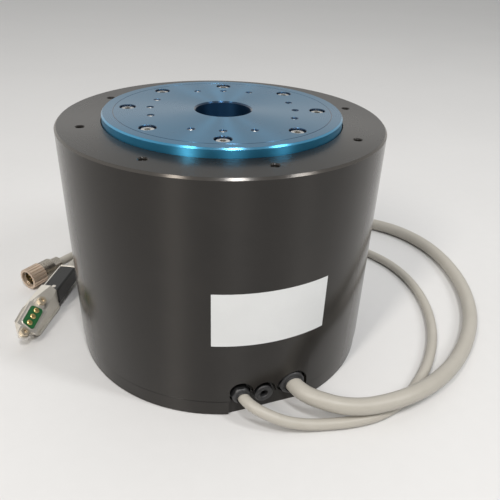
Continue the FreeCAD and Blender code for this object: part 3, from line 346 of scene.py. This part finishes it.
def wear_edge(material, masks, rim, colour, metal):
    """The dye rubbed thin on the chamfer past a radius, so that metal shows through."""
    tree, shader, own = open_finish(material)
    outer = reckon(tree, "GREATER_THAN", masks["radius"], rim / 1000)
    worn = reckon(tree, "MULTIPLY", reckon(tree, "SUBTRACT", masks["edge"], masks["face"]), outer)
    tree.links.new(mix_colours(tree, worn, own, colour), shader.inputs["Base Color"])
    tree.links.new(reckon(tree, "MULTIPLY", worn, metal), shader.inputs["Metallic"])


def paint_side_sheen_and_hole_shade(material, masks, rim, side_sheen_colour, hole_shade_colour):
    """A lighter dye on the side past a radius, as painted sheen, and a darker one on the walls of the holes
    within it, as painted shade. The face keeps its own.
    """
    tree, shader, own = open_finish(material)
    # Radii within the rim are the walls of the bore and of the holes, which take painted shade.
    within = reckon(tree, "LESS_THAN", masks["radius"], rim / 1000)
    # The side's lighter dye paints in the sheen it has under the lamps; the holes' darker dye paints their shade.
    walls = mix_colours(tree, within, side_sheen_colour, hole_shade_colour)
    tree.links.new(mix_colours(tree, masks["face"], walls, own), shader.inputs["Base Color"])


def divide_rim(material, inner, outer, count, ink):
    """Fine dark divisions round a disc's rim, between two radii."""
    tree, shader, clear = open_finish(material)
    parts, radius = about_axis(tree, add(tree, "ShaderNodeTexCoord").outputs["Object"])
    angle = reckon(tree, "ARCTAN2", parts["Y"], parts["X"])
    share = reckon(tree, "FRACT", reckon(tree, "MULTIPLY", angle, count / math.tau))
    dark = reckon(tree, "GREATER_THAN", share, 0.5)
    band = reckon(tree, "COMPARE", radius, (inner + outer) / 2000, (outer - inner) / 2000)
    inked = mix_colours(tree, reckon(tree, "MULTIPLY", dark, band), clear, ink)
    tree.links.new(inked, shader.inputs["Base Color"])


# Finishes, by the record's material slots

FINISH_OF_SLOT = {
    "black_anodised": finish(
        "black_anodised", [(0.0085, 0.0076, 0.0070), (0.016, 0.0147, 0.0135)], (0.46, 0.58), TURNED, 2600.0, 0.04,
        Specular_IOR_Level=0.2, Anisotropic=1.0, Anisotropic_Rotation=0.25, Coat_Roughness=0.18, Coat_IOR=1.35,
        Coat_Tint=(1.0, 0.96, 0.91, 1.0)),
    "blue_anodised": finish(
        "blue_anodised", [(0.050, 0.180, 0.315), (0.066, 0.220, 0.365)], (0.46, 0.58), TURNED, 2600.0, 0.04,
        Metallic=1.0, Anisotropic=0.95, Anisotropic_Rotation=0.25, Coat_Roughness=0.22),
    "screw_steel": finish(
        "stainless_screw", [(0.62, 0.61, 0.58), (0.75, 0.74, 0.71)], (0.22, 0.36), GRAIN, 2500.0, 0.05,
        Metallic=1.0),
    "machined_steel": finish(
        "turned_steel", [(0.42, 0.43, 0.45), (0.52, 0.53, 0.55)], (0.22, 0.36), TURNED, 2200.0, 0.08,
        Metallic=1.0),
    "bearing_steel": finish(
        "bearing_steel", [(0.62, 0.63, 0.65), (0.70, 0.71, 0.73)], (0.08, 0.16), TURNED, 4000.0, 0.02,
        Metallic=1.0),
    "cage_brass": finish(
        "cage_brass", [(0.60, 0.42, 0.16), (0.72, 0.53, 0.24)], (0.22, 0.36), TURNED, 2500.0, 0.06,
        Metallic=1.0),
    "copper_winding": finish(
        "copper_winding", [(0.50, 0.17, 0.06), (0.68, 0.29, 0.12)], (0.20, 0.32), TURNED, 1400.0, 0.5,
        Metallic=0.9),
    "lamination_steel": finish(
        "core_sheets", [(0.16, 0.17, 0.19), (0.27, 0.28, 0.30)], (0.32, 0.5), TURNED, 1000.0, 0.3,
        Metallic=1.0),
    "magnet": finish(
        "nickel_magnets", [(0.52, 0.52, 0.51), (0.62, 0.62, 0.61)], (0.14, 0.26), GRAIN, 900.0, 0.04,
        Metallic=1.0),
    "seal_rubber": finish(
        "seal_rubber", [(0.012, 0.012, 0.013), (0.022, 0.022, 0.023)], (0.55, 0.72), GRAIN, 1200.0, 0.15),
    "inner_aluminium": finish(
        "inner_aluminium", [(0.58, 0.59, 0.60), (0.70, 0.71, 0.72)], (0.26, 0.4), TURNED, 1800.0, 0.08,
        Metallic=1.0),
    "encoder_glass": finish(
        "encoder_marks", [(0.55, 0.57, 0.60), (0.72, 0.74, 0.77)], (0.08, 0.14), TURNED, 3000.0, 0.02,
        Metallic=1.0),
    "board_green": finish(
        "board_mask", [(0.012, 0.09, 0.04), (0.03, 0.16, 0.07)], (0.3, 0.42), GRAIN, 300.0, 0.06),
    "head_black": finish(
        "head_plastic", [(0.015, 0.015, 0.017), (0.03, 0.03, 0.032)], (0.42, 0.58), GRAIN, 2500.0, 0.12),
    "gland_black": finish(
        "gland_black", [(0.010, 0.010, 0.011), (0.022, 0.022, 0.023)], (0.42, 0.54), GRAIN, 2200.0, 0.06,
        IOR=1.7),
    "cable_grey": finish(
        "cable_sheath", [(0.40, 0.375, 0.325), (0.47, 0.445, 0.395)], (0.36, 0.5), GRAIN, 1600.0, 0.05),
    "hood_metal": finish(
        "hood_cast", [(0.70, 0.66, 0.58), (0.84, 0.80, 0.73)], (0.38, 0.52), GRAIN, 1600.0, 0.12,
        Metallic=0.6),
    "clamp_black": finish(
        "clamp_plastic", [(0.010, 0.010, 0.010), (0.022, 0.022, 0.021)], (0.36, 0.5), GRAIN, 2200.0, 0.1),
    "shell_steel": finish(
        "tinned_shell", [(0.70, 0.66, 0.60), (0.84, 0.81, 0.75)], (0.38, 0.52), GRAIN, 1500.0, 0.05,
        Metallic=0.6),
    "insulator_green": finish(
        "green_insulator", [(0.018, 0.115, 0.038), (0.036, 0.17, 0.06)], (0.34, 0.48), GRAIN, 2500.0, 0.06),
    "gold_contact": finish(
        "gold_contact", [(0.85, 0.60, 0.22), (0.95, 0.74, 0.38)], (0.34, 0.46), GRAIN, 2500.0, 0.03,
        Metallic=0.9),
    "jackscrew_brass": finish(
        "plated_brass", [(0.68, 0.57, 0.42), (0.82, 0.72, 0.56)], (0.36, 0.5), GRAIN, 2500.0, 0.05,
        Metallic=0.7),
    "plug_nickel": finish(
        "plug_nickel", [(0.37, 0.34, 0.29), (0.54, 0.50, 0.44)], (0.2, 0.34), GRAIN, 2200.0, 0.05,
        Metallic=1.0),
    "plug_copper": finish(
        "plug_copper", [(0.56, 0.43, 0.33), (0.74, 0.61, 0.49)], (0.36, 0.5), GRAIN, 2200.0, 0.05,
        Metallic=0.7),
    "plug_insulator": finish(
        "plug_insulator", [(0.02, 0.02, 0.022), (0.035, 0.035, 0.037)], (0.4, 0.55), GRAIN, 2500.0, 0.08),
}
label_paper = finish("label_paper", [(0.66, 0.67, 0.67), (0.72, 0.73, 0.73)], (0.34, 0.46), GRAIN, 1800.0, 0.03)

housing_black = FINISH_OF_SLOT["black_anodised"]
housing_masks = turned_outside(
    housing_black, top=133.5, chamfer=1.0, bore=20.0, side_gloss=1.0, top_gloss=0.5, side_fineness=1.0)
wear_edge(housing_black, housing_masks, rim=84.0, colour=(0.11, 0.105, 0.10), metal=0.85)
plate_blue = FINISH_OF_SLOT["blue_anodised"]
plate_masks = turned_outside(
    plate_blue, top=138.0, chamfer=0.8, bore=15.0, side_gloss=0.3, top_gloss=0.3, side_fineness=0.7)
# The plate's lighter teal side is painted sheen, and its dark navy hole walls are painted shade.
paint_side_sheen_and_hole_shade(plate_blue, plate_masks, rim=60.0, side_sheen_colour=(0.080, 0.44, 0.74), hole_shade_colour=(0.015, 0.052, 0.115))
divide_rim(FINISH_OF_SLOT["encoder_glass"], inner=48.5, outer=52.5, count=600, ink=(0.03, 0.03, 0.035))

for node, slot in slot_of.items():
    nodes[node].data.materials.clear()
    nodes[node].data.materials.append(FINISH_OF_SLOT[slot])


# Camera and cables

CAMERA_PLACE = (-0.08723, -0.27666, 0.21702)
CAMERA_TURN = (60.136, -1.918, -19.825)  # degrees
bpy.ops.object.camera_add(location=CAMERA_PLACE, rotation=[math.radians(turn) for turn in CAMERA_TURN])
camera = bpy.context.object
camera.data.sensor_width = 36.0
camera.data.lens = 38.83
camera.data.clip_start = 0.01
bpy.context.scene.camera = camera

POWER_ROUTE = [
    (12.6, -81.7, 14.0), (12.6, -92.5, 14.0), (26.6, -105.0, 12.5), (39.0, -110.2, 11.6),
    (51.5, -112.0, 11.4), (70.0, -111.6, 11.4), (92.0, -105.0, 9.4), (117.0, -91.5, 5.8),
    (140.5, -73.5, 4.7), (160.0, -52.0, 4.7), (175.5, -24.5, 4.7), (185.0, 6.5, 4.7),
    (186.8, 35.0, 4.7), (180.0, 61.0, 4.7), (165.5, 81.0, 4.7), (147.0, 95.0, 4.7),
    (123.0, 107.0, 4.7), (97.0, 117.0, 4.7), (69.0, 124.5, 4.7), (40.0, 126.5, 4.7),
    (12.0, 121.0, 4.7), (-14.0, 113.0, 4.7), (-38.0, 107.5, 4.7), (-59.0, 101.5, 4.7),
    (-76.0, 92.0, 5.3), (-86.5, 81.5, 7.3), (-90.414, 68.883, 9.7), (-95.391, 59.073, 9.7),
]
ENCODER_ROUTE = [
    (-15.8, -81.7, 13.0), (-15.8, -91.2, 13.0), (-1.8, -102.8, 8.3), (10.0, -106.2, 4.7),
    (22.0, -108.6, 3.3), (37.5, -111.8, 3.2), (55.0, -112.0, 3.2), (75.0, -104.8, 3.2),
    (96.5, -90.2, 3.2), (115.0, -71.8, 3.2), (129.5, -50.5, 3.2), (139.6, -26.5, 3.2),
    (144.6, -1.0, 3.2), (142.5, 23.0, 3.2), (133.0, 45.0, 3.2), (117.0, 66.0, 3.2),
    (96.0, 84.5, 3.2), (72.0, 98.5, 3.2), (48.0, 107.0, 3.6), (29.0, 111.0, 7.6),
    (13.0, 115.5, 12.6), (-9.0, 123.0, 12.6), (-25.0, 128.0, 7.6), (-43.0, 128.0, 3.6),
    (-60.0, 120.0, 3.5), (-72.0, 109.0, 4.9), (-91.839, 91.280, 7.6), (-100.448, 84.432, 7.6),
]


def lay_cable(name, route, diameter, node):
    """A round cable on one smooth line with its route's points as control points."""
    line = bpy.data.curves.new(name, "CURVE")
    line.dimensions = "3D"
    line.bevel_depth = diameter / 2000
    line.bevel_resolution = 6
    line.resolution_u = 10
    line.use_fill_caps = True
    spline = line.splines.new("NURBS")
    spline.points.add(len(route) - 1)
    for point, place in zip(spline.points, route):
        point.co = (*metres(*place), 1.0)
    spline.order_u = 3
    spline.use_endpoint_u = True
    cable = bpy.data.objects.new(name, line)
    bpy.context.collection.objects.link(cable)
    dress(cable, "stator", "cable_grey", node)
    return cable


power_cord = lay_cable("power_cord", POWER_ROUTE, 9.0, "power_cable")
encoder_cord = lay_cable("encoder_cord", ENCODER_ROUTE, 6.0, "encoder_cable")


# Label on the housing, left bare

LABEL_BACK, LABEL_FRONT = 87.44, 87.62  # radii
LABEL_LOW, LABEL_HIGH = 46.7, 76.9
LABEL_SWEEP, LABEL_START = 39.3, -71.4  # degrees
label = turned_piece("label", [
    (LABEL_BACK, LABEL_LOW), (LABEL_FRONT, LABEL_LOW), (LABEL_FRONT, LABEL_HIGH), (LABEL_BACK, LABEL_HIGH),
    (LABEL_BACK, LABEL_LOW)], 40, LABEL_SWEEP)
put(label, (0.0, 0.0, 0.0), turn=LABEL_START)
smooth(label)
dress(label, "stator", "black_anodised", look=label_paper)


# Socket head screws of the rotor plate and of the base

PLATE_START, BASE_START = -17.5, 22.5  # angles of the first screws, in degrees
PLATE_SEAT, BASE_SEAT = (51.0, 0.0, 133.3), (82.0, 0.0, 4.7)  # where a head sits, before it is turned there
DOWN = (0.0, 0.0, -1.0)


def socket_screw(name, length):
    """A screw with a chamfered shank, a rounded head and a hexagon socket. Its head's seat is z = 0."""
    shank, head, top = 1.6, 3.5, 4.0
    dish = top - 0.14
    screw = turned_piece(name, [
        (0.0, -length), (shank - 0.5, -length), (shank, 0.5 - length), (shank, -0.3), (shank + 0.15, 0.0),
        (head - 0.12, 0.0), (head, 0.12), (head, top - 0.4), (head - 0.06, top - 0.22), (head - 0.2, top - 0.08),
        (head - 0.4, top), (2.05, top), (1.85, dish), (1.2, dish), (0.0, dish)])
    drill(screw, sides=6, radius=1.73, depth=4.0, at=(0.0, 0.0, top))
    smooth(screw)
    return screw


plate_screw = socket_screw("plate_screw", length=9.3)
put(plate_screw, PLATE_SEAT)
dress(round_the_axis(plate_screw, even_angles(8, PLATE_START)), "rotor", "screw_steel", "plate_screws")
base_screw = socket_screw("base_screw", length=14.3)
put(base_screw, BASE_SEAT, towards=DOWN)
dress(round_the_axis(base_screw, even_angles(8, BASE_START)), "stator", "screw_steel", "base_screws")


# Threads that line the tapped holes

def threads(name, bore, depth, pitch, mouth, angles, body, slot, towards=(0.0, 0.0, 1.0)):
    """Helical ridges in a circle of equal holes of the given radius, each from a depth up to its mouth."""
    root, crest = bore + 0.03, bore - 0.42 * pitch
    piece = start_outline(name, [
        (root, -depth), (crest, 0.45 * pitch - depth), (crest, 0.55 * pitch - depth), (root, pitch - depth)])
    bpy.ops.object.mode_set(mode="OBJECT")
    winding = piece.modifiers.new("winding", "SCREW")
    winding.axis = "Z"
    winding.angle = math.tau
    winding.screw_offset = pitch / 1000
    winding.iterations = int(depth / pitch) - 1
    winding.steps = winding.render_steps = 20
    winding.use_merge_vertices = True
    winding.merge_threshold = MERGE_GAP
    apply_changes(piece)
    smooth(piece)
    put(piece, mouth, towards)
    dress(round_the_axis(piece, angles), body, slot)


threads("face_threads", bore=2.1, depth=11.0, pitch=0.8, mouth=(75.0, 0.0, 133.0),
        angles=even_angles(8), body="stator", slot="black_anodised")
threads("plate_threads", bore=1.65, depth=7.0, pitch=0.7, mouth=(40.0, 0.0, 137.5),
        angles=even_angles(8, 5.0), body="rotor", slot="screw_steel")
threads("plate_inner_threads", bore=1.65, depth=7.0, pitch=0.7, mouth=(39.0, 0.0, 137.5),
        angles=even_angles(4, PLATE_START), body="rotor", slot="screw_steel")
threads("base_threads", bore=2.5, depth=6.8, pitch=1.0, mouth=(62.0, 0.0, 0.2),
        angles=even_angles(4), body="stator", slot="black_anodised", towards=DOWN)


# Rubber collars where the cables leave their glands

def collar(name, inner, outer, at):
    piece = turned_piece(name, [
        (inner, -2.0), (outer, -2.0), (outer, 0.1), (outer - 0.15, 0.5), (outer - 0.5, 0.8), (inner + 0.25, 0.9),
        (inner, 0.7), (inner, -2.0)])
    put(piece, at, towards=(0.0, -1.0, 0.0))
    smooth(piece, 50.0)
    dress(piece, "stator", "seal_rubber")


collar("power_cable_collar", inner=4.45, outer=5.3, at=(12.6, -86.7, 14.0))
collar("encoder_cable_collar", inner=2.95, outer=3.6, at=(-15.8, -86.7, 13.0))


# Trim of the power connector. Places are along it towards its face, across it and up from the floor.

POWER_PLUG_PLACE, POWER_PLUG_TURN = (-115.5, 15.9, 0.0), 243.1
power_plug = [nodes["power_contacts"], nodes["power_jackscrew_front"], nodes["power_jackscrew_rear"]]


def on_power_plug(piece, slot):
    put(piece, POWER_PLUG_PLACE, turn=POWER_PLUG_TURN)
    dress(piece, "stator", slot)
    power_plug.append(piece)


def small_screw(name, radius, rise, at):
    """A low round head with a cross recess."""
    head = turned_piece(name, [
        (0.0, -0.6), (radius * 0.8, -0.6), (radius, 0.0), (radius * 0.96, rise * 0.5),
        (radius * 0.75, rise * 0.85), (radius * 0.4, rise), (0.0, rise)], 32)
    for long, wide in ((1.1, 0.22), (0.22, 1.1)):
        cut_with(head, bar(name + "_recess", (-radius * long / 2, -radius * wide / 2, rise * 0.35),
                           (radius * long / 2, radius * wide / 2, rise * 2.0), 0.01))
    smooth(head)
    put(head, at)
    return head


on_power_plug(bar("block_trim", (-55.4, -7.45, 14.1), (-27.7, -6.65, 15.5), 0.2), "shell_steel")
on_power_plug(bar("hood_lip", (-27.4, 2.5, 0.3), (1.5, 3.2, 2.4), 0.25), "hood_metal")
end_cap = bar("block_end_cap", (-57.4, -7.2, 4.0), (-55.4, 4.05, 15.45), 0.5)
drill(end_cap, sides=48, radius=4.65, depth=10.0, at=(-56.4, -1.6, 9.7), turn=(0.0, math.pi / 2, 0.0))
on_power_plug(end_cap, "hood_metal")
on_power_plug(small_screw("block_screw", radius=1.4, rise=0.6, at=(-30.6, -0.4, 15.2)), "shell_steel")


# Grip rings of the encoder connector, along it towards its face

ENCODER_PLUG_PLACE, ENCODER_PLUG_HEADING = (-98.1, 86.3, 7.6), (-0.782608, -0.622515, 0.0)
encoder_plug = [nodes["encoder_coupling_ring"], nodes["encoder_plug_insert"], nodes["encoder_pins"]]
ridges = [(6.4, 7.0)]
for height in (7.3, 8.9, 10.5, 12.1, 13.7):
    ridges += [(6.52, height), (6.8, height + 0.15), (6.8, height + 1.0), (6.52, height + 1.15)]
grip = turned_piece("plug_grip", ridges + [(6.4, 15.6), (6.4, 7.0)])
smooth(grip)
put(grip, ENCODER_PLUG_PLACE, towards=ENCODER_PLUG_HEADING)
dress(grip, "stator", "plug_nickel")
encoder_plug.append(grip)


# Rounded edges on the outside solids that show them

ON_THE_HOUSING = {"base_plate": 0.45, "power_gland_nut": 0.3, "encoder_gland_nut": 0.3, "port_bushing": 0.2}
ON_POWER_PLUG = {"power_clamp_block": 0.4, "power_hood": 0.5, "power_shell": 0.15, "power_insulator": 0.15}
ON_ENCODER_PLUG = {"encoder_plug_body": 0.3, "encoder_clamp_nut": 0.3}
for node, width in ON_THE_HOUSING.items():
    soften(node, width)
power_plug += [soften(node, width) for node, width in ON_POWER_PLUG.items()]
encoder_plug += [soften(node, width) for node, width in ON_ENCODER_PLUG.items()]


# Floor and light

bpy.ops.mesh.primitive_plane_add(size=12.0, location=(0.0, 0.0, -0.0001))
floor = bpy.context.object
floor.name = "floor"
floor.data.materials.append(finish(
    "pale_floor", [(0.675, 0.67, 0.665), (0.715, 0.71, 0.705)], (0.5, 0.6), GRAIN, 120.0, 0.02, patch_size=3.0))

LAMP_AIM = (0.0, 0.0, 0.1)


def softbox(name, place, size, power, colour=(1.0, 1.0, 1.0)):
    """A rectangular soft lamp at a place, aimed at the motor."""
    bpy.ops.object.light_add(type="AREA", location=place)
    lamp = bpy.context.object
    lamp.name = name
    lamp.data.shape = "RECTANGLE"
    lamp.data.size, lamp.data.size_y = size
    lamp.data.energy = power
    lamp.data.color = colour
    x, y, z = [b - a for a, b in zip(place, LAMP_AIM)]
    lamp.rotation_euler = (math.atan2(math.hypot(x, y), -z), 0.0, math.atan2(y, x) - math.pi / 2)


softbox("window_lamp", place=(-1.05, -0.80, 1.25), size=(0.2, 0.6), power=13.5, colour=(1.0, 0.95, 0.89))
softbox("front_lamp", place=(-0.05, -0.85, 1.60), size=(0.24, 0.3), power=11.5)
softbox("right_lamp", place=(0.92, -0.86, 1.3), size=(0.2, 0.6), power=8.0)


def soft_room():
    """A pale room that is lighter above and behind the motor."""
    world = bpy.data.worlds.new("soft_room")
    bpy.context.scene.world = world
    world.use_nodes = True
    tree = world.node_tree
    walls = tree.nodes["Background"]
    direction = add(tree, "ShaderNodeTexCoord").outputs["Generated"]
    parts = add(tree, "ShaderNodeSeparateXYZ", {0: direction}).outputs
    colour = mix_colours(tree, ramp(tree, parts["Z"], -0.1, 0.7), (0.62, 0.62, 0.61), (0.98, 0.98, 0.97))
    tree.links.new(colour, walls.inputs["Color"])
    tree.links.new(ramp(tree, parts["Y"], -0.8, 0.9, 0.2, 0.86), walls.inputs["Strength"])


soft_room()
bpy.context.scene.view_settings.view_transform = "Standard"
